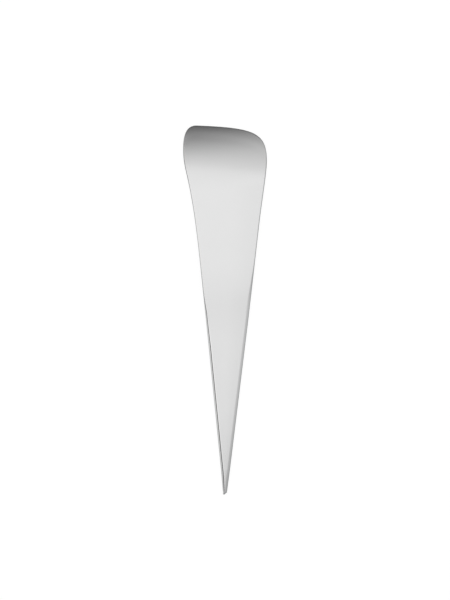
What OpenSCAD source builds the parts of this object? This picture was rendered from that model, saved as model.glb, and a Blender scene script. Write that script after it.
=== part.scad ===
// Cheese knife with a broad flared blade whose end curls up, on a long hollow handle that narrows to a point.
// Sizes are in millimetres. X runs across the knife, Y from the point of the handle to the end of the blade,
// and Z up from the flat back, which lies at zero. The origin is midway along and across.

/* [Whole knife] */
// Length from the point of the handle to the end of the blade
overall_length = 220; // [205:1:240]
// Greatest width, across the flared end of the blade
blade_width = 50; // [46:1:56]
// Thickness of the handle, and of the blade where it leaves the handle
handle_thickness = 3.6; // [3.2:0.1:4.4]

/* [Blade outline] */
// Distance from the point at which the left side leaves its straight line and flares
flare_start = 140; // [134:1:146]
// Distance of the left side from the centreline where the flare starts
waist_left = 15.1; // [13:0.1:18]
// Distance below the blade's end at which the left side is widest
left_crest_drop = 13.5; // [10:0.5:18]
// Distance in from the left side at which the end edge starts
end_edge_start = 8; // [6:0.5:12]
// Slope of the end edge where it starts, in degrees
end_edge_slope = 2.2; // [0:0.2:6]
// Distance below the blade's end at which the right side is widest
right_crest_drop = 21; // [16:0.5:26]
// Distance below the blade's end at which the straight right side ends
shoulder_drop = 57; // [50:0.5:62]
// How much narrower the right side is there than at its widest
shoulder_inset = 4.4; // [3.5:0.05:5.5]

/* [Blade section] */
// Length of the curled end, measured flat along the knife
curl_length = 29; // [22:0.5:36]
// Height of the back of the blade at its curled end
curl_rise = 7; // [4:0.5:10]
// Thickness of the blade where the curl starts
blade_thickness = 1.4; // [1:0.1:2]
// Thickness of the blunt end edge
edge_thickness = 0.6; // [0.4:0.1:0.9]
// Length over which the rounded left edge fades out above the handle
left_fade = 22; // [14:1:26]
// Length over which the rounded right edge fades out above the handle
right_fade = 35; // [24:1:40]
// Distance from the point at which the front of the blade starts to taper
taper_start = 128; // [116:1:140]

/* [Handle] */
// Length of the handle from its point to where it meets the blade
handle_length = 106; // [98:1:112]
// Distance of the left side from the centreline where the handle meets the blade
joint_left = 11.55; // [11:0.05:12.2]
// Distance of the right side from the centreline where the handle meets the blade
joint_right = 14.1; // [13.5:0.05:14.8]
// Distance of the left side from the centreline at the nib
nib_left = 2.4; // [2.1:0.05:2.8]
// Distance of the right side from the centreline at the nib
nib_right = 2.95; // [2.6:0.05:3.4]
// Radius of the rounded point
tip_radius = 1.1; // [0.8:0.1:1.5]
// Wall of the two half shells
shell_wall = 0.8; // [0.6:0.1:0.9]
// Length of the solid nib that closes the narrow end
nib_length = 15; // [13:0.5:20]
// Length of the nib's spigot inside the shells
spigot_length = 8; // [4:0.5:12]

/* [Tang] */
// Filler above and below the tang
tang_cover = 0.4; // [0.2:0.1:0.5]
// Filler on each side of the tang
tang_margin = 2.5; // [1.5:0.5:3]
// Filler between the end of the tang and the nib's spigot
tang_gap = 24; // [16:1:40]

/* [Hidden] */

steel = [0.84, 0.84, 0.85];
cement = [0.63, 0.61, 0.57];

// Stations along the knife
point_y = -overall_length / 2;
end_y = overall_length / 2;
tip_y = point_y + tip_radius;
nib_y = point_y + nib_length;
spigot_y = nib_y + spigot_length;
joint_y = point_y + handle_length;
flare_y = point_y + flare_start;
shoulder_y = end_y - shoulder_drop;
curl_y = end_y - curl_length;
left_fade_y = joint_y + left_fade;
right_fade_y = joint_y + right_fade;
taper_y = point_y + taper_start;

// The long edges of the handle are full rounds
edge_radius = handle_thickness / 2;
tang_thickness = handle_thickness - 2 * shell_wall - 2 * tang_cover;

// Thickness of the section slices that hulls run between, and overlap of joined solids
slice = 0.01;
overlap = 1;
curve_steps = 20;
round_steps = 32;
arc_steps = 360;

// Both sides of the handle are straight, and the blade goes on from them with slightly other slopes
shoulder_x = blade_width / 2 - shoulder_inset;
left_way = [(joint_left - waist_left) / (flare_y - joint_y), 1];
right_way = [(shoulder_x - joint_right) / (shoulder_y - joint_y), 1];
function left_x(y) = -nib_left - (joint_left - nib_left) * (y - nib_y) / (joint_y - nib_y);
function right_x(y) = nib_right + (joint_right - nib_right) * (y - nib_y) / (joint_y - nib_y);
function blade_left_x(y) = -joint_left + left_way[0] * (y - joint_y);
function blade_right_x(y) = joint_right + right_way[0] * (y - joint_y);

// Points along a cubic curve from p to q that leaves p along vector u and reaches q along vector v
function curve(p, u, q, v) = [
    for (i = [0 : curve_steps - 1])
        let (t = i / curve_steps, s = 1 - t)
            s * s * s * p + 3 * s * s * t * (p + u) + 3 * s * t * t * (q - v) + t * t * t * q
];

// Corners of the blade's outline, clockwise from the straight left side
waist = [-waist_left, flare_y];
left_crest = [-blade_width / 2, end_y - left_crest_drop];
end_start = [-blade_width / 2 + end_edge_start, end_y];
right_crest = [blade_width / 2, end_y - right_crest_drop];
shoulder = [shoulder_x, shoulder_y];

flare_height = left_crest[1] - flare_y;
end_reach = right_crest[0] - end_start[0];
end_way = [1, -tan(end_edge_slope)];
shoulder_height = right_crest[1] - shoulder_y;

// Shares of each curved stretch over which its two ends run on straight; larger shares make a fuller curve
flare_ease = [0.8, 0.23];
left_corner_ease = [0.47, 0.86];
right_corner_ease = [0.81, 0.83];
shoulder_ease = [0.17, 0.25];

blade_outline = concat(
    [[blade_left_x(left_fade_y), left_fade_y]],
    curve(
        waist, left_way * flare_height * flare_ease[0],
        left_crest, [0, flare_height * flare_ease[1]]
    ),
    curve(
        left_crest, [0, left_crest_drop * left_corner_ease[0]],
        end_start, [end_edge_start * left_corner_ease[1], 0]
    ),
    curve(
        end_start, end_way * end_reach * right_corner_ease[0],
        right_crest, [0, -right_crest_drop * right_corner_ease[1]]
    ),
    curve(
        right_crest, [0, -shoulder_height * shoulder_ease[0]],
        shoulder, -right_way * shoulder_height * shoulder_ease[1]
    ),
    [shoulder, [blade_right_x(right_fade_y), right_fade_y], [0, joint_y + overlap]]
);

// Rounded cross-section of the handle at station y, drawn as a slice that starts at station from
module section(y, from, inset = 0) {
    for (x = [left_x(y) + edge_radius, right_x(y) - edge_radius])
        translate([x, from, edge_radius])
            rotate([-90, 0, 0])
                cylinder(r = edge_radius - inset, h = slice, $fn = round_steps);
}

// Stretch of the handle between two stations, shrunk on all sides by inset
module handle_bar(low_y, high_y, inset = 0) {
    hull() {
        section(low_y, low_y, inset);
        section(high_y, high_y - slice, inset);
    }
}

// Side view of the blade: flat back, front tapering to the curl, then two arcs that close on the end edge
module side_profile() {
    taper_angle = atan((handle_thickness - blade_thickness) / (curl_y - taper_y));
    front_rise = curl_rise + edge_thickness - blade_thickness;
    back_radius = (curl_length ^ 2 + curl_rise ^ 2) / (2 * curl_rise);
    front_turn = curl_length * sin(taper_angle) + front_rise * cos(taper_angle);
    front_radius = (curl_length ^ 2 + front_rise ^ 2) / (2 * front_turn);
    front_y = curl_y + front_radius * sin(taper_angle);
    front_z = blade_thickness + front_radius * cos(taper_angle);
    polygon([
        [joint_y, 0],
        [curl_y, 0],
        [curl_y, blade_thickness],
        [taper_y, handle_thickness],
        [joint_y, handle_thickness]
    ]);
    difference() {
        intersection() {
            translate([curl_y, -overlap])
                square([curl_length + overlap, curl_rise + handle_thickness + overlap]);
            translate([curl_y, back_radius])
                circle(r = back_radius, $fn = arc_steps);
        }
        translate([front_y, front_z])
            circle(r = front_radius, $fn = arc_steps);
    }
}

// Root of the blade: the handle's round edges fade into the plate's square ones
module root() {
    hull() {
        section(joint_y, joint_y);
        translate([blade_left_x(left_fade_y), left_fade_y - slice, 0])
            cube([slice, slice, handle_thickness]);
        translate([blade_right_x(right_fade_y) - slice, right_fade_y - slice, 0])
            cube([slice, slice, handle_thickness]);
    }
}

// Root and plate of the blade, cut to the side view
module blade_body() {
    intersection() {
        union() {
            root();
            linear_extrude(curl_rise + handle_thickness)
                polygon(blade_outline);
        }
        translate([-blade_width, 0, 0])
            rotate([90, 0, 90])
                linear_extrude(2 * blade_width)
                    side_profile();
    }
}

// Flat tongue that runs from the blade's root down inside the handle
module tang() {
    side = shell_wall + tang_margin;
    low_y = spigot_y + tang_gap;
    high_y = joint_y + overlap;
    translate([0, 0, edge_radius - tang_thickness / 2])
        linear_extrude(tang_thickness)
            polygon([
                [left_x(low_y) + side, low_y],
                [right_x(low_y) - side, low_y],
                [right_x(high_y) - side, high_y],
                [left_x(high_y) + side, high_y]
            ]);
}

// Hollow body of the handle, kept between two heights
module shell(low_z, high_z) {
    intersection() {
        difference() {
            handle_bar(nib_y, joint_y);
            handle_bar(nib_y - overlap, joint_y + overlap, shell_wall);
        }
        translate([-blade_width, point_y, low_z])
            cube([2 * blade_width, overall_length, high_z - low_z]);
    }
}

module blade() {
    color(steel) {
        blade_body();
        tang();
    }
}

module handle_front() {
    color(steel)
        shell(edge_radius, handle_thickness + overlap);
}

module handle_back() {
    color(steel)
        shell(-overlap, edge_radius);
}

module handle_tip() {
    color(steel) {
        hull() {
            section(nib_y, nib_y - slice);
            translate([0, tip_y, edge_radius])
                sphere(r = tip_radius, $fn = round_steps);
        }
        handle_bar(nib_y - overlap, spigot_y, shell_wall);
    }
}

module handle_filler() {
    color(cement)
        difference() {
            handle_bar(spigot_y, joint_y, shell_wall);
            tang();
        }
}

blade();
handle_front();
handle_back();
handle_tip();
handle_filler();
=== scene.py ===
# %% [markdown]
# # A cheese knife in satin steel
# This notebook dresses a cheese knife that was first drawn as solids. The solids come in as a fixed frame:
# they say where each piece sits and how large it is, and nothing here moves them. The pieces that are seen
# are then modelled again with rounded edges and clean quads, because a plain solid has neither.

# %% Load the fixed frame
import math

import bmesh
import bpy
import numpy as np
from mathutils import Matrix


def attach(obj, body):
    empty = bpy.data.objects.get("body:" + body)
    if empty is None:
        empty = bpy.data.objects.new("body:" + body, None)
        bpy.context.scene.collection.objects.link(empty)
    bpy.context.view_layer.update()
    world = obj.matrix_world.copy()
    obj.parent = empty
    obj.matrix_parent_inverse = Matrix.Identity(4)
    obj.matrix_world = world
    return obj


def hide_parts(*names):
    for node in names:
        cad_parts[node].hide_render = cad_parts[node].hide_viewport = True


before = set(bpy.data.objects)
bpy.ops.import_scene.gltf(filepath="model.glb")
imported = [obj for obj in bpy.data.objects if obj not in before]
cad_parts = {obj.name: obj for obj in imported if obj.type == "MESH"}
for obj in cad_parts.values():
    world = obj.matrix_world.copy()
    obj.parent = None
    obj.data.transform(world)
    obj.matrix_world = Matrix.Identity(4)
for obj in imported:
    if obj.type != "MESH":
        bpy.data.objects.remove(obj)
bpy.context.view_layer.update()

MM = 0.001
bpy.ops.object.select_all(action="DESELECT")
print("nodes:", sorted(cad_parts))

# %% [markdown]
# ## Camera
# The photograph looks straight down on the knife, with the blade's end at the top of the picture. A camera
# with no turn looks down -Z with +Y up, which is that view. A wide lens close by would make the curled end
# look larger than the handle, so a long lens far away is used. The picture is 600 pixels high, the knife
# fills 368.9 of them, and the middle of the picture lies 10.3 above the middle of the knife.

# %% Place the camera
KNIFE_LENGTH = 220 * MM
PICTURE_PIXELS, KNIFE_PIXELS, MIDDLE_PIXELS = 600, 368.9, 10.3
LENS, SENSOR = 200.0, 36.0
# Height at which the picture's scale holds: about that of the handle's front
SCALE_Z = 3.5 * MM
FAR_CLIP = 50
picture_height = KNIFE_LENGTH * PICTURE_PIXELS / KNIFE_PIXELS
picture_middle = MIDDLE_PIXELS / PICTURE_PIXELS * picture_height
camera_height = picture_height * LENS / SENSOR

bpy.ops.object.camera_add(location=(0, picture_middle, camera_height + SCALE_Z), rotation=(0, 0, 0))
camera = bpy.context.object
camera.name = "camera"
camera.data.lens = LENS
camera.data.sensor_width = SENSOR
camera.data.clip_end = FAR_CLIP
bpy.context.scene.camera = camera
print("camera is", round(camera_height, 3), "m above the knife")

# %% [markdown]
# ## Floor
# The knife lies on white paper. A white floor under a dim sky would turn grey, so the paper glows a little,
# which keeps it white to the edge of the picture. Steel mirrors the sky alone: the paper is hidden from it.

# %% Lay the floor
FLOOR_SIZE, FLOOR_Z = 8, -0.05 * MM
PAPER_SHADE, PAPER_GLOW, PAPER_ROUGH = 0.2, 0.88, 0.9


def grey(level):
    return level, level, level, 1


bpy.ops.mesh.primitive_plane_add(size=FLOOR_SIZE, location=(0, 0, FLOOR_Z))
floor = bpy.context.object
floor.name = "floor"
floor.visible_glossy = False
paper = bpy.data.materials.new("white_paper")
paper.use_nodes = True
paper_shader = paper.node_tree.nodes["Principled BSDF"]
paper_shader.inputs["Base Color"].default_value = grey(PAPER_SHADE)
paper_shader.inputs["Roughness"].default_value = PAPER_ROUGH
paper_shader.inputs["Emission Color"].default_value = grey(1)
paper_shader.inputs["Emission Strength"].default_value = PAPER_GLOW
floor.data.materials.append(paper)
bpy.ops.object.select_all(action="DESELECT")
print("floor is", FLOOR_SIZE, "m wide")

# %% [markdown]
# ## Light
# Steel has almost no colour of its own: it shows what stands around it. The photograph was lit by a broad
# white light overhead, with less light towards the handle's end and to the right, and that is what shades
# the curled end and draws the strips along the handle. Lamps could be placed until the shading fits, but
# each one changes all the rest. A sky of soft steps, set by the direction in which a ray leaves, can be
# fitted one direction at a time. The flag darkens the sky only behind the handle's end, which the curl
# mirrors, so that the back and the sides stay light. The gap is a dark slit to the left, which the left
# round mirrors as a thin line. The camera itself sees a plain white sky.


# %% Write helpers for nodes
def feed(tree, value, socket):
    """Links another node's output to a socket, or sets the socket to a plain value."""
    if isinstance(value, bpy.types.NodeSocket):
        tree.links.new(value, socket)
    else:
        socket.default_value = value


def math_node(tree, operation, first, second=0.0):
    node = tree.nodes.new("ShaderNodeMath")
    node.operation = operation
    feed(tree, first, node.inputs[0])
    feed(tree, second, node.inputs[1])
    return node.outputs["Value"]


def map_range(tree, value, low, high, to_low=0.0, to_high=1.0, soft=False):
    """Maps a value from one span to another, in a straight line or softly."""
    node = tree.nodes.new("ShaderNodeMapRange")
    node.interpolation_type = "SMOOTHSTEP" if soft else "LINEAR"
    node.inputs["From Min"].default_value = low
    node.inputs["From Max"].default_value = high
    node.inputs["To Min"].default_value = to_low
    node.inputs["To Max"].default_value = to_high
    tree.links.new(value, node.inputs["Value"])
    return node.outputs["Result"]


def mix(tree, share, first, second, kind="FLOAT"):
    """Mixes two numbers, or two colours if the kind is RGBA."""
    node = tree.nodes.new("ShaderNodeMix")
    node.data_type = kind
    feed(tree, share, node.inputs["Factor"])
    feed(tree, first, node.inputs["A"])
    feed(tree, second, node.inputs["B"])
    return node.outputs["Result"]


def angle_ramp(tree, angle, stops):
    """A ramp over angles from -180 to 180 degrees. Each stop is an angle and a brightness."""
    ramp = tree.nodes.new("ShaderNodeValToRGB")
    elements = ramp.color_ramp.elements
    while len(elements) < len(stops):
        elements.new(0.5)
    for element, (degrees, level) in zip(elements, stops):
        element.position = (degrees + 180) / 360
        element.color = grey(level)
    tree.links.new(map_range(tree, angle, -math.pi, math.pi), ramp.inputs["Fac"])
    return ramp.outputs["Color"]


# %% Set the steps of the sky
ACROSS = [(-180, 0.45), (-135, 0.80), (-100, 0.95), (-60, 1.0), (-20, 1.30), (-13, 1.30), (-6, 1.02),
          (3, 0.99), (10, 0.89), (24, 0.80), (45, 0.77), (100, 0.77), (125, 0.50), (150, 0.26), (180, 0.30)]
OVERHEAD = [(-1, 0.928), (1, 0.94), (5, 0.985), (12, 1.01), (25, 0.95), (50, 0.80), (90, 0.62)]
ALONG = [(-90, 0.62), (-74, 0.56), (-62, 0.34), (-55, 0.12), (-50, 0.13), (-45, 0.19), (-38, 0.32),
         (-31, 0.415), (-26, 0.50), (-19.5, 0.605), (-14, 0.685), (-8.3, 0.76), (-5, 0.81), (-2.8, 0.86),
         (-2, 0.905)] + OVERHEAD
ALONG_SIDE = [(-90, 0.60), (-14, 0.61), (-9, 0.73), (-5, 0.80), (-2.8, 0.85), (-2, 0.90)] + OVERHEAD
FLAG = [(-180, 0), (-45, 0), (-22, 1), (14, 1), (34, 0), (180, 0)]
GAP_ACROSS = [(-180, 0), (-62, 0), (-55, 1), (-26, 1), (-20, 0), (180, 0)]
GAP_ALONG = [(-180, 0.3), (-30, 0.3), (-16, 1), (-9, 1), (-5.5, 0.95), (-2.8, 0.9), (-2.1, 0.85),
             (-1.3, 0.68), (0, 0.55), (1.5, 0.38), (180, 0.38)]
SEEN_SKY = 0.98
print("sky with", len(ACROSS), "steps across and", len(ALONG), "along")

# %% Build the light tent
sky = bpy.data.worlds.new("light_tent")
sky.use_nodes = True
bpy.context.scene.world = sky
tree = sky.node_tree
way = tree.nodes.new("ShaderNodeTexCoord")
parts = tree.nodes.new("ShaderNodeSeparateXYZ")
tree.links.new(way.outputs["Generated"], parts.inputs["Vector"])
across_angle = math_node(tree, "ARCTAN2", parts.outputs["X"], parts.outputs["Z"])
along_angle = math_node(tree, "ARCSINE", parts.outputs["Y"])
across_light = angle_ramp(tree, across_angle, ACROSS)
front_light = angle_ramp(tree, along_angle, ALONG)
side_light = angle_ramp(tree, along_angle, ALONG_SIDE)
along_light = mix(tree, angle_ramp(tree, across_angle, FLAG), side_light, front_light)
gap_across = angle_ramp(tree, across_angle, GAP_ACROSS)
gap_along = angle_ramp(tree, along_angle, GAP_ALONG)
beside_gap = math_node(tree, "SUBTRACT", 1.0, math_node(tree, "MULTIPLY", gap_across, gap_along))
open_light = math_node(tree, "MULTIPLY", across_light, along_light)
light = math_node(tree, "MULTIPLY", open_light, beside_gap)
ray = tree.nodes.new("ShaderNodeLightPath")
seen = mix(tree, ray.outputs["Is Camera Ray"], light, SEEN_SKY)
tree.links.new(seen, tree.nodes["Background"].inputs["Color"])
bpy.context.scene.view_settings.view_transform = "Standard"
print("light tent with", len(tree.nodes), "nodes")

# %% [markdown]
# ## The outline
# From above, the knife is two straight sides that start at a rounded point, a left side that swings out into
# a flare, an end edge that falls slightly to the right and two unlike corners. Both sides bend by a hair
# where the handle ends. Tracing pixels would give a wobbly line. A few corner points joined by straight runs
# and cubic curves give a clean one, the same that the solids have.

# %% Name the corner points
THICK = 3.6 * MM
EDGE = THICK / 2
POINT_Y, END_Y = -110 * MM, 110 * MM
TIP_R = 1.1 * MM
TIP_Y = POINT_Y + TIP_R
NIB_Y = POINT_Y + 15 * MM
JOINT_Y = POINT_Y + 106 * MM
TIP_LEFT, TIP_RIGHT = -1.2 * MM, 1.1 * MM
NIB_LEFT, NIB_RIGHT = -2.4 * MM, 2.95 * MM
JOINT_LEFT, JOINT_RIGHT = -11.55 * MM, 14.1 * MM
WAIST = np.array((-15.1, 30)) * MM
LEFT_CREST = np.array((-25, 96.5)) * MM
END_START = np.array((-17, 110)) * MM
RIGHT_CREST = np.array((25, 89)) * MM
SHOULDER = np.array((20.6, 53)) * MM
LEFT_STATIONS = (TIP_Y, NIB_Y, JOINT_Y, WAIST[1])
RIGHT_STATIONS = (TIP_Y, NIB_Y, JOINT_Y, SHOULDER[1])


def left_x(y):
    return float(np.interp(y, LEFT_STATIONS, (TIP_LEFT, NIB_LEFT, JOINT_LEFT, WAIST[0])))


def right_x(y):
    return float(np.interp(y, RIGHT_STATIONS, (TIP_RIGHT, NIB_RIGHT, JOINT_RIGHT, SHOULDER[0])))


print("width where the blade starts:", round((right_x(JOINT_Y) - left_x(JOINT_Y)) / MM, 2), "mm")

# %% Draw the outline
END_SLOPE = math.radians(2.2)
# Shares of each curved stretch over which its two ends run on straight
FLARE_EASE, LEFT_EASE = (0.8, 0.23), (0.47, 0.86)
RIGHT_EASE, SWELL_EASE = (0.81, 0.83), (0.17, 0.25)
STRAIGHT_POINTS, CURVE_POINTS, LONG_CURVE_POINTS = 60, 80, 160
# Points of the two corner curves at which the upper corners of the face are put
LEFT_SPLIT, RIGHT_SPLIT = 45, 118


def curve(p, u, q, v, count=CURVE_POINTS):
    """Points of a cubic curve that leaves p along u and reaches q along v."""
    t = np.linspace(0, 1, count)[:, None]
    s = 1 - t
    return s**3 * p + 3 * s * s * t * (p + np.array(u)) + 3 * s * t * t * (q - np.array(v)) + t**3 * q


left_way = np.array(((WAIST[0] - JOINT_LEFT) / (WAIST[1] - JOINT_Y), 1))
right_way = np.array(((SHOULDER[0] - JOINT_RIGHT) / (SHOULDER[1] - JOINT_Y), 1))
end_way = np.array((1, -math.tan(END_SLOPE)))
flare_high = LEFT_CREST[1] - WAIST[1]
left_wide, left_high = END_START - LEFT_CREST
right_wide = RIGHT_CREST[0] - END_START[0]
right_high = END_START[1] - RIGHT_CREST[1]
swell_high = RIGHT_CREST[1] - SHOULDER[1]

left_stations = np.linspace(JOINT_Y, WAIST[1], STRAIGHT_POINTS)
right_stations = np.linspace(SHOULDER[1], JOINT_Y, STRAIGHT_POINTS)
straight_left = np.array([(left_x(y), y) for y in left_stations])
flare = curve(WAIST, left_way * flare_high * FLARE_EASE[0], LEFT_CREST, (0, flare_high * FLARE_EASE[1]))
left_corner = curve(LEFT_CREST, (0, left_high * LEFT_EASE[0]), END_START, (left_wide * LEFT_EASE[1], 0))
right_corner = curve(END_START, end_way * right_wide * RIGHT_EASE[0],
                     RIGHT_CREST, (0, -right_high * RIGHT_EASE[1]), LONG_CURVE_POINTS)
right_swell = curve(RIGHT_CREST, (0, -swell_high * SWELL_EASE[0]),
                    SHOULDER, -right_way * swell_high * SWELL_EASE[1])
straight_right = np.array([(right_x(y), y) for y in right_stations])
stretches = [straight_left, flare, left_corner, right_corner, right_swell, straight_right]
outline = np.concatenate([stretches[0]] + [stretch[1:] for stretch in stretches[1:]])
run = np.gradient(outline, axis=0)
inward = np.stack([run[:, 1], -run[:, 0]], 1) / np.linalg.norm(run, axis=1)[:, None]

first_left = len(straight_left) + len(flare) - 2
corner_l = first_left + LEFT_SPLIT
corner_r = first_left + len(left_corner) - 1 + RIGHT_SPLIT
print("outline:", len(outline), "points; left corner at", np.round(outline[corner_l] / MM, 1),
      "right corner at", np.round(outline[corner_r] / MM, 1))

# %% [markdown]
# ## Thickness
# Seen from the side, the blade's back is flat. Its front falls gently from the handle, and the end curls up
# towards the viewer. How steep the steel is shows in its shading: the darker, the steeper. It starts to bend
# softly at about two thirds of the blade's length and then turns by about a degree for each millimetre. The
# right side bends a little sooner than the left, which then catches up. A faint wave runs along the end edge,
# as forming often leaves one. So the bend is written as a tilt at each station, and the height is the tilts
# added up.

# %% Give the blade its tilt
# The fall of the flat, the soft bend and the even round after it, in degrees
FALL = 2.0
BEND_Y, ROUND_Y = 69 * MM, 92 * MM
BEND, TURN_PER_MM = 10.2, 0.94
# The twist between the two sides
TWIST_Y, TWIST_LENGTH = 77 * MM, 20 * MM
TWIST_SOON, TWIST_LATE = 0.75, -1.2
TWIST_ARM, TWIST_LIMIT = 15 * MM, 20 * MM
# The wave: its tilt and length, where its crest lies below the end edge, and where it dies out
WAVE, WAVE_LENGTH = 0.55, 7.4 * MM
WAVE_CREST, WAVE_SKEW, WAVE_SPAN = 5.2 * MM, 0.06, (-20 * MM, 10 * MM)
WAVE_FADE_FROM, WAVE_FADE = 6 * MM, 7 * MM


def ease(share):
    """Goes from 0 to 1 with a soft start and end."""
    share = np.clip(share, 0, 1)
    return share * share * (3 - 2 * share)


def ripple(x, y):
    """The wave that forming left, in degrees. It runs along the end edge and dies out below it."""
    end_edge = outline[corner_l : corner_r + 1]
    below = np.interp(x, end_edge[:, 0], end_edge[:, 1]) - y
    crest = WAVE_CREST + WAVE_SKEW * np.clip(x, *WAVE_SPAN)
    wave = WAVE * np.cos(2 * np.pi * (below - crest) / WAVE_LENGTH)
    return wave * (1 - ease((below - WAVE_FADE_FROM) / WAVE_FADE))


def twist(x, y):
    """How much sooner the right side bends than the left, in degrees."""
    soon = TWIST_SOON * np.sin(np.pi * np.clip((y - TWIST_Y) / (ROUND_Y - TWIST_Y), 0, 1))
    late = TWIST_LATE * np.sin(np.pi * (y - ROUND_Y) / TWIST_LENGTH)
    return np.clip(x, -TWIST_LIMIT, TWIST_LIMIT) / TWIST_ARM * np.where(y < ROUND_Y, soon, late)


def tilt(x, y):
    """Tilt of the front in degrees at stations y: falling towards the end counts as positive."""
    rise = np.clip((y - BEND_Y) / (ROUND_Y - BEND_Y), 0, 1)
    middle = FALL - BEND * rise**2 - TURN_PER_MM * np.clip((y - ROUND_Y) / MM, 0, None)
    return middle - twist(x, y) + ripple(x, y)


print("tilt at the end:", round(float(-tilt(0, np.array(END_Y))), 1), "degrees")

# %% Add the tilts up to heights
TAPER_Y, TAPER_EASE = POINT_Y + 128 * MM, 11 * MM
THIN_Y, END_THICK = 74 * MM, 0.6 * MM
SLICES = 60


def front_z(x, y):
    if y > BEND_Y:
        stations = BEND_Y + (y - BEND_Y) * (np.arange(SLICES) + 0.5) / SLICES
        return front_z(x, BEND_Y) - (y - BEND_Y) * float(np.tan(np.radians(tilt(x, stations))).mean())
    slope = math.tan(math.radians(FALL))
    if y > TAPER_Y + TAPER_EASE:
        return THICK - slope * (y - TAPER_Y)
    if y > TAPER_Y - TAPER_EASE:
        return THICK - slope * (y - TAPER_Y + TAPER_EASE) ** 2 / (4 * TAPER_EASE)
    return THICK


def back_z(x, y):
    if y < THIN_Y:
        return 0.0
    start = front_z(x, THIN_Y)
    return front_z(x, y) - start - (END_THICK - start) * (y - THIN_Y) / (END_Y - THIN_Y)


print("the end rises to", round(front_z(0, END_Y) / MM, 2), "mm")

# %% [markdown]
# ## Blade: the front face
# The face could be filled from the outline in one go, but a single many-sided face can't bend. A grid is
# added instead and its rows are fitted between the two sides, so that the quads follow the curl. The grid
# stops short of the outline by the radius of the edge, which is as large as half the thickness at the handle
# and fades to a fine break on the blade. Two marks for painted shade are kept on the points: how dark the
# edge is painted, and how far to the right a point lies, for a face painted darker to the right.

# %% Set the radius of the edge
FINE, FINE_LIMIT, ROUND_LIMIT = 0.5 * MM, 0.8, 0.985
LEFT_START, LEFT_FADE = 0.35, 15 * MM
RIGHT_FADE_FROM, RIGHT_FADE = JOINT_Y + 8 * MM, 27 * MM
# Near the handle the edge is rolled straight across, so that it meets the shells
SQUARE_ON = 10 * MM


def fade(k):
    """How far the handle's round has faded out at place k of the outline: 0 at the handle, 1 on the blade."""
    y = outline[int(round(k))][1]
    if k < corner_l:
        return ease((y - JOINT_Y) / LEFT_FADE)
    if k > corner_r:
        return ease((y - RIGHT_FADE_FROM) / RIGHT_FADE)
    return 1.0


def edge_radius(k):
    """Radius of the rounded edge at place k. The left one is smaller from the start."""
    x, y = outline[int(round(k))]
    half = (front_z(x, y) - back_z(x, y)) / 2
    share = LEFT_START + (1 - LEFT_START) * fade(k) if k < corner_l else fade(k)
    return min(ROUND_LIMIT * half, (1 - share) * EDGE + share * min(FINE, FINE_LIMIT * half))


def place(k):
    """Point of the outline and inward direction at place k, which need not be whole."""
    i = np.arange(len(outline))
    p = np.array([np.interp(k, i, outline[:, 0]), np.interp(k, i, outline[:, 1])])
    n = np.array([np.interp(k, i, inward[:, 0]), np.interp(k, i, inward[:, 1])])
    turned = ease((p[1] - JOINT_Y) / SQUARE_ON)
    n = n * turned + np.array((math.copysign(1, n[0]), 0)) * (1 - turned)
    return p, n / np.linalg.norm(n)


def inset_point(k):
    p, n = place(k)
    return p + n * edge_radius(k)


print("edge radius at the handle:", round(edge_radius(0) / MM, 2), "mm left,",
      round(edge_radius(len(outline) - 1) / MM, 2), "mm right")

# %% Choose the rows and columns
CURL_ROW, EDGE_ROW, EDGE_COLUMN = 0.58, 0.9965, 0.008
PLAIN_ROWS, CURL_ROWS, COLUMNS = 24, 56, 44

plain = np.linspace(0, CURL_ROW, PLAIN_ROWS)
curled = np.linspace(CURL_ROW, EDGE_ROW, CURL_ROWS)
rows = np.concatenate([plain, curled[1:], [1]])
ROWS = len(rows) - 1
even = np.linspace(0, 1, COLUMNS - 1)
crowded = even / 2 + (1 - np.cos(np.pi * even)) / 4
columns = np.concatenate([[0], EDGE_COLUMN + (1 - 2 * EDGE_COLUMN) * crowded, [1]])

index = np.arange(len(outline))
to_left = slice(0, corner_l + 1)
to_end = slice(corner_l, corner_r + 1)
to_right = slice(corner_r, None)
left_y = JOINT_Y + (outline[corner_l][1] - JOINT_Y) * rows
right_y = JOINT_Y + (outline[corner_r][1] - JOINT_Y) * rows
end_x = outline[corner_l][0] + (outline[corner_r][0] - outline[corner_l][0]) * columns
left_k = np.interp(left_y, outline[to_left, 1], index[to_left])
right_k = np.interp(right_y, outline[to_right, 1][::-1], index[to_right][::-1])
end_k = np.interp(end_x, outline[to_end, 0], index[to_end])
rim_k = np.concatenate([left_k, end_k[1:], right_k[::-1][1:]])
print(ROWS, "rows and", COLUMNS, "columns,", len(rim_k), "places along the rim")

# %% Fit a grid to the outline
# How dark the last row and the one below it are painted: painted shade along the end edge
EDGE_SHADE_ROWS = (0.9, 0.12)
# How much of the painted shade on the right the blade keeps, and where it fades out on the curl
BLADE_MARK, BLADE_MARK_Y = 0.85, 20 * MM
CURL_MARK_Y, CURL_MARK_FADE = 72 * MM, 14 * MM

left_in = np.array([inset_point(k) for k in left_k])
right_in = np.array([inset_point(k) for k in right_k])
end_in = np.array([inset_point(k) for k in end_k])
joint_in = left_in[0] + (right_in[0] - left_in[0]) * columns[:, None]


def patch_point(i, j):
    """Point of row i and column j, blended from the four sides of the face."""
    u, v = columns[j], rows[i]
    sides = (1 - v) * joint_in[j] + v * end_in[j] + (1 - u) * left_in[i] + u * right_in[i]
    low = (1 - u) * left_in[0] + u * right_in[0]
    high = (1 - u) * left_in[-1] + u * right_in[-1]
    return sides - ((1 - v) * low + v * high)


def right_shade_share(share, y):
    """How far to the right a point lies, as a share of painted shade on the right: less on the blade, and
    nothing on the curl.
    """
    along_blade = BLADE_MARK + (1 - BLADE_MARK) * ease(1 - y / BLADE_MARK_Y)
    return share * along_blade * (1 - ease((y - CURL_MARK_Y) / CURL_MARK_FADE))


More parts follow.
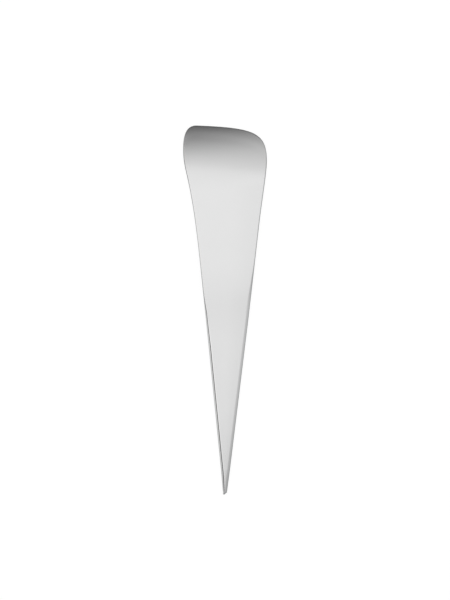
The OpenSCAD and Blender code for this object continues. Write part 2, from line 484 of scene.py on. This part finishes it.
bpy.ops.mesh.primitive_grid_add(x_subdivisions=COLUMNS, y_subdivisions=ROWS, size=1, location=(0, 0, 0))
blade = bpy.context.object
blade.name = "blade_steel_piece"
bpy.ops.object.mode_set(mode="EDIT")
mesh = bmesh.from_edit_mesh(blade.data)
station = mesh.verts.layers.int.new("station")
edge_shade = mesh.verts.layers.float.new("painted_edge_shade")
across = mesh.verts.layers.float.new("across")
for vert in mesh.verts:
    j = round((vert.co.x + 0.5) * COLUMNS)
    i = round((vert.co.y + 0.5) * ROWS)
    x, y = patch_point(i, j)
    vert.co = (x, y, front_z(x, y))
    # The across mark sets how much painted shade darkens the face towards the right
    vert[across] = right_shade_share(columns[j], y)
    if j == 0:
        vert[station] = 1 + i
    elif i == ROWS:
        vert[station] = 1 + ROWS + j
        # Painted shade: a dark line along the end edge
        vert[edge_shade] = EDGE_SHADE_ROWS[0]
    elif j == COLUMNS:
        vert[station] = 1 + ROWS + COLUMNS + (ROWS - i)
    if i == ROWS - 1:
        # Painted shade on the row below the end edge
        vert[edge_shade] = EDGE_SHADE_ROWS[1]
bmesh.update_edit_mesh(blade.data)
print("front face:", len(mesh.verts), "points,", len(mesh.faces), "quads")

# %% [markdown]
# ## Blade: the rolled edge
# A bevel would do for an edge of one radius. This one is a full round at the handle and a hair's breadth at
# the end, so the border of the grid is extruded in small steps instead, and each new loop is put where the
# round has got to. The side that meets the handle is left open.

# %% Roll the edge over to half the thickness
# Steps of the round, and the steps over which the edge's painted shade grows
STEPS, EDGE_SHADE_STEPS = 7, 3
# How dark the edge is painted, as painted shade, at places before and after each upper corner
EDGE_SHADE_AT = (corner_l - 12, corner_l + 8, corner_r - 8, corner_r + 16)
EDGE_SHADE_LEVELS = (0.26, 1.0, 1.0, 0.55)
STEP_DOWN = {"value": (0, 0, -0.1 * MM)}


def rim_point(k, step):
    """Where the edge has got to: 90 degrees of round in STEPS steps, then the middle of the wall."""
    p, n = place(k)
    r = edge_radius(k)
    turn = min(step / STEPS, 1.0) * math.pi / 2
    x, y = p + n * r * (1 - math.sin(turn))
    top, bottom = front_z(x, y), back_z(x, y)
    z = top - r * (1 - math.cos(turn)) if step <= STEPS else (top + bottom) / 2
    return x, y, z


bpy.ops.mesh.select_all(action="DESELECT")
bpy.ops.mesh.select_mode(type="EDGE")
mesh = bmesh.from_edit_mesh(blade.data)
station = mesh.verts.layers.int["station"]
for edge in mesh.edges:
    a, b = (v[station] for v in edge.verts)
    edge.select_set(edge.is_boundary and a > 0 and b > 0 and {a, b} != {1, len(rim_k)})
bmesh.update_edit_mesh(blade.data)
for step in range(1, STEPS + 2):
    bpy.ops.mesh.extrude_region_move(TRANSFORM_OT_translate=STEP_DOWN)
    mesh = bmesh.from_edit_mesh(blade.data)
    station = mesh.verts.layers.int["station"]
    edge_shade = mesh.verts.layers.float["painted_edge_shade"]
    across = mesh.verts.layers.float["across"]
    for vert in mesh.verts:
        if vert.select:
            k = rim_k[vert[station] - 1]
            vert.co = rim_point(k, step)
            vert[across] = 0
            # Painted shade darkens the rolled edge: none at the handle, growing over the first steps,
            # strongest along the end edge
            vert[edge_shade] = fade(k) * min(1.0, step / EDGE_SHADE_STEPS) * float(np.interp(k, EDGE_SHADE_AT, EDGE_SHADE_LEVELS))
    bmesh.update_edit_mesh(blade.data)
print("edge rolled:", len(mesh.faces), "faces")

# %% [markdown]
# ## Blade: the back
# The back is the same sheet again, turned over about the middle of the thickness. It is copied, each point
# is carried to the other side, and the two halves are sewn where their edges meet.

# %% Copy the front to the back and sew
# Points closer than this are one
SEAM = 0.002 * MM
bpy.ops.mesh.select_mode(type="VERT")
bpy.ops.mesh.select_all(action="SELECT")
bpy.ops.mesh.duplicate_move()
mesh = bmesh.from_edit_mesh(blade.data)
for vert in mesh.verts:
    if vert.select:
        vert.co.z = front_z(vert.co.x, vert.co.y) + back_z(vert.co.x, vert.co.y) - vert.co.z
bmesh.update_edit_mesh(blade.data)
bpy.ops.mesh.flip_normals()
bpy.ops.mesh.select_all(action="SELECT")
bpy.ops.mesh.remove_doubles(threshold=SEAM)
bpy.ops.mesh.select_all(action="DESELECT")
bpy.ops.mesh.select_mode(type="EDGE")
bpy.ops.mesh.select_non_manifold(extend=False)
bpy.ops.mesh.edge_face_add()
print("shoulder face filled:", len(bmesh.from_edit_mesh(blade.data).faces), "faces")

# %% [markdown]
# ## Blade: the tang
# A tang is a flat tongue that runs from the shoulder down inside the handle. It can't be seen once the knife
# is put together, but it is what holds the blade. The shoulder face is inset to the tongue's thickness and
# pulled out.

# %% Pull out the tang
WALL = 0.8 * MM
TANG_COVER, TANG_MARGIN, TANG_GAP = 0.4 * MM, 2.5 * MM, 24 * MM
TANG_THICK = THICK - 2 * WALL - 2 * TANG_COVER
TANG_SIDE = WALL + TANG_MARGIN
SPIGOT_Y = NIB_Y + 8 * MM
TANG_END_Y = SPIGOT_Y + TANG_GAP
SMOOTH_BELOW = math.radians(40)


def fit_width(target, low, high):
    """Stretches the selected points across so that they run from low to high."""
    mesh = bmesh.from_edit_mesh(target.data)
    chosen = [v for v in mesh.verts if v.select]
    x = [v.co.x for v in chosen]
    for v in chosen:
        v.co.x = low + (v.co.x - min(x)) / (max(x) - min(x)) * (high - low)
    bmesh.update_edit_mesh(target.data)


def close_piece():
    """Turns all faces outwards, leaves edit mode and shades the piece smooth except at sharp edges."""
    bpy.ops.mesh.select_all(action="SELECT")
    bpy.ops.mesh.normals_make_consistent(inside=False)
    bpy.ops.object.mode_set(mode="OBJECT")
    bpy.ops.object.shade_smooth_by_angle(angle=SMOOTH_BELOW)


bpy.ops.mesh.select_mode(type="FACE")
bpy.ops.mesh.inset(thickness=EDGE - TANG_THICK / 2)
fit_width(blade, left_x(JOINT_Y) + TANG_SIDE, right_x(JOINT_Y) - TANG_SIDE)
bpy.ops.mesh.extrude_region_move(TRANSFORM_OT_translate={"value": (0, TANG_END_Y - JOINT_Y, 0)})
fit_width(blade, left_x(TANG_END_Y) + TANG_SIDE, right_x(TANG_END_Y) - TANG_SIDE)
close_piece()
blade.data.attributes.remove(blade.data.attributes["station"])
print("blade:", len(blade.data.polygons), "faces,", [round(d / MM, 2) for d in blade.dimensions], "mm")

# %% [markdown]
# ## Handle: the section
# The handle's section is a flat bar with round ends. It could be drawn point by point, but a circle has those
# two round ends already: its halves only have to stand apart. So a circle is added, each of its points keeps
# its angle, and one rule puts any loop that is extruded from it in place. Pressed sheet leaves its flat a
# little before the round starts, and the light catches that as a thin bright line, so the two points there
# lie further in on the left. The points on the right shoulder are marked for painted shade on the right, as
# on the blade.

# %% Write the rule for a section
LOOP_POINTS = 72
LOOP_STEP = 360 / LOOP_POINTS
SOFT_REACH, SOFT_SECOND, SOFT_DIP = 0.5 * MM, 0.1, 0.011 * MM


def start_section(name):
    """Adds a loop of points at the nib, in edit mode. Each keeps its angle from straight up and its mark."""
    middle = (0, NIB_Y, EDGE)
    bpy.ops.object.select_all(action="DESELECT")
    bpy.ops.mesh.primitive_circle_add(vertices=LOOP_POINTS, radius=EDGE, location=middle,
                                      rotation=(math.pi / 2, 0, 0))
    piece = bpy.context.object
    piece.name = name
    bpy.ops.object.transform_apply(location=True, rotation=True, scale=True)
    bpy.ops.object.mode_set(mode="EDIT")
    bpy.ops.mesh.select_mode(type="EDGE")
    bpy.ops.mesh.select_all(action="SELECT")
    bpy.ops.transform.rotate(value=math.radians(LOOP_STEP / 2), orient_axis="Y", center_override=middle)
    mesh = bmesh.from_edit_mesh(piece.data)
    mesh.verts.layers.float.new("angle")
    mesh.verts.layers.float.new("across")
    angle, across = mesh.verts.layers.float["angle"], mesh.verts.layers.float["across"]
    shoulder = EDGE * math.sin(math.radians(2 * LOOP_STEP))
    for vert in mesh.verts:
        vert[angle] = math.atan2(vert.co.x, vert.co.z - EDGE)
        # The right shoulder is marked for painted shade on the right
        vert[across] = 1.0 if 0 < vert.co.x < shoulder else 0.0
    bmesh.update_edit_mesh(piece.data)
    return piece


def fit_section(piece, y, left, right, half=EDGE, left_round=None, soft=0.0, slant=0.0):
    """Puts the selected loop at y, with round ends at left and right and half the thickness up and down."""
    mesh = bmesh.from_edit_mesh(piece.data)
    angle = mesh.verts.layers.float["angle"]
    for vert in mesh.verts:
        if not vert.select:
            continue
        turn = vert[angle]
        r = half if turn > 0 or left_round is None else left_round
        x = r * (1 - abs(math.sin(turn)))
        z = half - r + r * abs(math.cos(turn))
        from_flat = math.degrees(math.asin(abs(math.sin(turn))))
        if turn < 0 and from_flat < 2 * LOOP_STEP:
            first = from_flat < LOOP_STEP
            x += soft * (r + SOFT_REACH * (1.0 if first else SOFT_SECOND) - x)
            z += soft * (half - (0 if first else SOFT_DIP) - z)
        vert.co.x = left + x if turn < 0 else right - x
        vert.co.z = EDGE + math.copysign(z, math.cos(turn))
        vert.co.y = y + slant * (vert.co.x - left)
    bmesh.update_edit_mesh(piece.data)


def next_section(piece, *place, **shape):
    bpy.ops.mesh.extrude_region_move(TRANSFORM_OT_translate={"value": (0, 0, 0)})
    fit_section(piece, *place, **shape)


# %% [markdown]
# ## Handle: the two half shells
# The handle is pressed from sheet as two shallow troughs that meet halfway up the side. Each could be
# modelled as a trough, but then the two might not meet. So the whole tube is extruded, from the nib to the
# blade, and cut level: what is left is one trough, and Solidify gives it the sheet's wall. Near the blade the
# left round tightens.

# %% Extrude the tube, cut it and give it a wall
FULL_Y = JOINT_Y - 18 * MM
TUBE_SHARES = (0.15, 0.35, 0.55, 0.75, 1.0)
# Points closer than this to the cut lie on it
CUT_REACH = 0.0001 * MM


def handle_tube(name):
    tube = start_section(name)
    fit_section(tube, NIB_Y, left_x(NIB_Y), right_x(NIB_Y), soft=1.0)
    for share in TUBE_SHARES:
        y = NIB_Y + (FULL_Y - NIB_Y) * share
        next_section(tube, y, left_x(y), right_x(y), soft=1.0)
    next_section(tube, JOINT_Y, left_x(JOINT_Y), right_x(JOINT_Y), left_round=edge_radius(0))
    bpy.ops.mesh.select_all(action="SELECT")
    bpy.ops.mesh.normals_make_consistent(inside=False)
    return tube


def half_shell(name, keep_top):
    shell = handle_tube(name)
    bpy.ops.mesh.bisect(plane_co=(0, 0, EDGE), plane_no=(0, 0, 1), clear_inner=keep_top,
                        clear_outer=not keep_top, threshold=CUT_REACH)
    bpy.ops.object.mode_set(mode="OBJECT")
    sheet = shell.modifiers.new("sheet", "SOLIDIFY")
    sheet.thickness = WALL
    sheet.offset = -1
    sheet.use_even_offset = True
    bpy.ops.object.modifier_apply(modifier=sheet.name)
    bpy.ops.object.shade_smooth_by_angle(angle=SMOOTH_BELOW)
    flat = shell.modifiers.new("flat", "WEIGHTED_NORMAL")
    flat.keep_sharp = True
    bpy.ops.object.modifier_apply(modifier=flat.name)
    shell.data.attributes.remove(shell.data.attributes["angle"])
    print(name, len(shell.data.polygons), "faces,", [round(d / MM, 2) for d in shell.dimensions], "mm")
    return shell


front_shell = half_shell("handle_front_piece", True)
back_shell = half_shell("handle_back_piece", False)

# %% [markdown]
# ## Handle: the nib
# Sheet can't be pressed to a point, so a solid nib closes the narrow end. Its section starts as the handle's
# and is extruded in steps, each a little smaller, to a blunt tip that is cut at a slant, as on the real
# knife. A spigot on the other end goes into the shells.

# %% Extrude the nib to its tip
NIB_SHARES = (0.15, 0.3, 0.45, 0.6, 0.75, 0.88, 1.0)
TIP_DEGREES = (10, 20, 30, 40, 50, 60, 69, 77, 83, 88)
TIP_FULLNESS, TIP_LEAN, TIP_SLANT = 0.75, 0.3 * MM, 0.5

nib = start_section("handle_nib_piece")
fit_section(nib, NIB_Y, left_x(NIB_Y), right_x(NIB_Y), soft=1.0)
for share in NIB_SHARES:
    y = NIB_Y + (TIP_Y - NIB_Y) * share
    half = EDGE + (TIP_R - EDGE) * share**2
    next_section(nib, y, left_x(y), right_x(y), half=half, soft=1 - share)
for degrees in TIP_DEGREES:
    gone = math.sin(math.radians(degrees))
    full = math.cos(math.radians(degrees)) ** TIP_FULLNESS
    half_width = (TIP_RIGHT - TIP_LEFT) / 2 * full
    middle = (TIP_RIGHT + TIP_LEFT) / 2 - TIP_LEAN * gone
    next_section(nib, TIP_Y - TIP_R * gone, middle - half_width, middle + half_width, half=TIP_R * full,
                 slant=TIP_SLANT * gone)
bpy.ops.mesh.edge_face_add()
bpy.ops.mesh.select_all(action="DESELECT")
bpy.ops.mesh.select_non_manifold(extend=False)
bpy.ops.mesh.edge_face_add()
print("nib closed:", len(bmesh.from_edit_mesh(nib.data).faces), "faces")

# %% Add the spigot
bpy.ops.mesh.select_mode(type="FACE")
bpy.ops.mesh.inset(thickness=WALL)
bpy.ops.mesh.extrude_region_move(TRANSFORM_OT_translate={"value": (0, SPIGOT_Y - NIB_Y, 0)})
fit_width(nib, left_x(SPIGOT_Y) + WALL, right_x(SPIGOT_Y) - WALL)
close_piece()
nib.data.attributes.remove(nib.data.attributes["angle"])
print("nib:", len(nib.data.polygons), "faces,", [round(d / MM, 2) for d in nib.dimensions], "mm")

# %% [markdown]
# ## Satin steel
# The steel is brushed along the knife until it is matt silver. From where the camera stands the strokes
# can't be told apart: they only spread the reflection. So the strokes are a noise pulled out long in Y,
# which changes the roughness a little and raises a very low bump, and a broad, faint cloud keeps the sheen
# from being dead even. Painted shade makes the faces a trace darker towards the right. The handle is painted
# a trace lighter than the blade, and its tone runs into the blade's at the joint. Painted shade darkens
# the handle's narrow end, and the darkest painted shade lies along the blade's edge.


# %% Write helpers for finishes
def add_noise(tree, spot, scale, detail):
    noise = tree.nodes.new("ShaderNodeTexNoise")
    noise.inputs["Scale"].default_value = scale
    noise.inputs["Detail"].default_value = detail
    tree.links.new(spot, noise.inputs["Vector"])
    return noise.outputs["Fac"]


def two_tones(tree, share, low, high):
    ramp = tree.nodes.new("ShaderNodeValToRGB")
    ramp.color_ramp.elements[0].color = low
    ramp.color_ramp.elements[1].color = high
    tree.links.new(share, ramp.inputs["Fac"])
    return ramp.outputs["Color"]


def point_mark(tree, name):
    """Value of a mark that was kept on the points."""
    mark = tree.nodes.new("ShaderNodeAttribute")
    mark.attribute_name = name
    return mark.outputs["Fac"]


# %% Mix the satin steel
STROKE_PULL, STROKE_SCALE, STROKE_DETAIL = 0.012, 4200, 3
STROKE_LOW, STROKE_HIGH, STROKE_ROUGH = 0.3, 0.7, 0.03
STROKE_BUMP, STROKE_DEPTH = 0.06, 0.01 * MM
CLOUD_SCALE, CLOUD_DETAIL, CLOUD_DEPTH = 55, 2, 0.012
# Painted shade darkens the faces towards the right
RIGHT_FROM, RIGHT_TO, RIGHT_PAINTED_SHADE = 0.4, 1.05, 0.05
# Painted shade that brings the handle to the blade's tone at the joint
JOIN_FROM_Y, JOIN_PAINTED_SHADE = -19.5 * MM, 0.0245
# Painted shade at the handle's narrow end
NARROW_SHADE_FROM_Y, NARROW_SHADE_TO_Y, NARROW_SHADE_GREY = -50 * MM, -112 * MM, 0.40
# Painted shade on the blade's edge
EDGE_SHADE_GREY = 0.12


def satin_steel(name, shade, rough, narrow_shade_depth=0.0):
    """Steel for the handle, with painted shade at its narrow end and at the joint, or without that for the
    blade, with painted shade on its edge.
    """
    steel = bpy.data.materials.new(name)
    steel.use_nodes = True
    tree = steel.node_tree
    shader = tree.nodes["Principled BSDF"]
    shader.inputs["Metallic"].default_value = 1.0
    spot = tree.nodes.new("ShaderNodeTexCoord").outputs["Object"]
    pulled = tree.nodes.new("ShaderNodeMapping")
    pulled.inputs["Scale"].default_value = (1, STROKE_PULL, 1)
    tree.links.new(spot, pulled.inputs["Vector"])
    strokes = add_noise(tree, pulled.outputs["Vector"], STROKE_SCALE, STROKE_DETAIL)
    cloud = add_noise(tree, spot, CLOUD_SCALE, CLOUD_DETAIL)
    tone = two_tones(tree, cloud, grey(shade - CLOUD_DEPTH), grey(shade + CLOUD_DEPTH))
    # Painted shade: the faces darker towards the right
    right = map_range(tree, point_mark(tree, "across"), RIGHT_FROM, RIGHT_TO, 0, RIGHT_PAINTED_SHADE, soft=True)
    tone = mix(tree, right, tone, grey(0), "RGBA")
    if narrow_shade_depth:
        parts = tree.nodes.new("ShaderNodeSeparateXYZ")
        tree.links.new(spot, parts.inputs["Vector"])
        # Painted shade brings the handle's tone down to the blade's at the joint
        joined = map_range(tree, parts.outputs["Y"], JOIN_FROM_Y, JOINT_Y, 0, JOIN_PAINTED_SHADE, soft=True)
        tone = mix(tree, joined, tone, grey(0), "RGBA")
        # Painted shade darkens the handle's narrow end
        narrow_shade = map_range(tree, parts.outputs["Y"], NARROW_SHADE_FROM_Y, NARROW_SHADE_TO_Y, 0, narrow_shade_depth, soft=True)
        tone = mix(tree, narrow_shade, tone, grey(NARROW_SHADE_GREY), "RGBA")
    else:
        # Painted shade darkens the blade's edge where its points are marked
        tone = mix(tree, point_mark(tree, "painted_edge_shade"), tone, grey(EDGE_SHADE_GREY), "RGBA")
    tree.links.new(tone, shader.inputs["Base Color"])
    matt = map_range(tree, strokes, STROKE_LOW, STROKE_HIGH, rough - STROKE_ROUGH, rough + STROKE_ROUGH)
    tree.links.new(matt, shader.inputs["Roughness"])
    bump = tree.nodes.new("ShaderNodeBump")
    bump.inputs["Strength"].default_value = STROKE_BUMP
    bump.inputs["Distance"].default_value = STROKE_DEPTH
    tree.links.new(strokes, bump.inputs["Height"])
    tree.links.new(bump.outputs["Normal"], shader.inputs["Normal"])
    print(name, "shade", shade, "roughness", rough)
    return steel


# Blade and handle are one steel; the handle's is painted a trace lighter, as painted light
blade_finish = satin_steel("satin_steel_blade", 0.795, 0.15)
handle_finish = satin_steel("satin_steel_handle", 0.8165, 0.145, narrow_shade_depth=0.19)
for piece, finish in ((blade, blade_finish), (front_shell, handle_finish), (back_shell, handle_finish),
                      (nib, handle_finish)):
    piece.data.materials.clear()
    piece.data.materials.append(finish)

# %% [markdown]
# ## Filler
# Inside the shells, a cast cement holds the tang. The solid already has its shape, so it only needs a finish:
# a matt, slightly speckled grey.

# %% Finish the filler
CEMENT_ROUGH = 0.85
GRAIN_SCALE, GRAIN_DETAIL = 900, 2
GRAIN_DARK, GRAIN_LIGHT = (0.30, 0.29, 0.27, 1), (0.42, 0.40, 0.36, 1)

cement = bpy.data.materials.new("cast_cement")
cement.use_nodes = True
tree = cement.node_tree
shader = tree.nodes["Principled BSDF"]
shader.inputs["Roughness"].default_value = CEMENT_ROUGH
spot = tree.nodes.new("ShaderNodeTexCoord").outputs["Object"]
grain = add_noise(tree, spot, GRAIN_SCALE, GRAIN_DETAIL)
tree.links.new(two_tones(tree, grain, GRAIN_DARK, GRAIN_LIGHT), shader.inputs["Base Color"])
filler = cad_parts["handle_filler"]
filler.data.materials.clear()
filler.data.materials.append(cement)
print("filler finished:", filler.name)

# %% [markdown]
# ## Put the pieces on the frame
# The knife is one rigid body, so every piece rides on the same one and takes the place of the solid that it
# was made from.

# %% Tie each piece to its solid
for piece, node, slot in ((blade, "blade", "blade_steel"), (front_shell, "handle_front", "handle_steel"),
                          (back_shell, "handle_back", "handle_steel"), (nib, "handle_tip", "handle_steel")):
    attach(piece, "root")
    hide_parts(node)
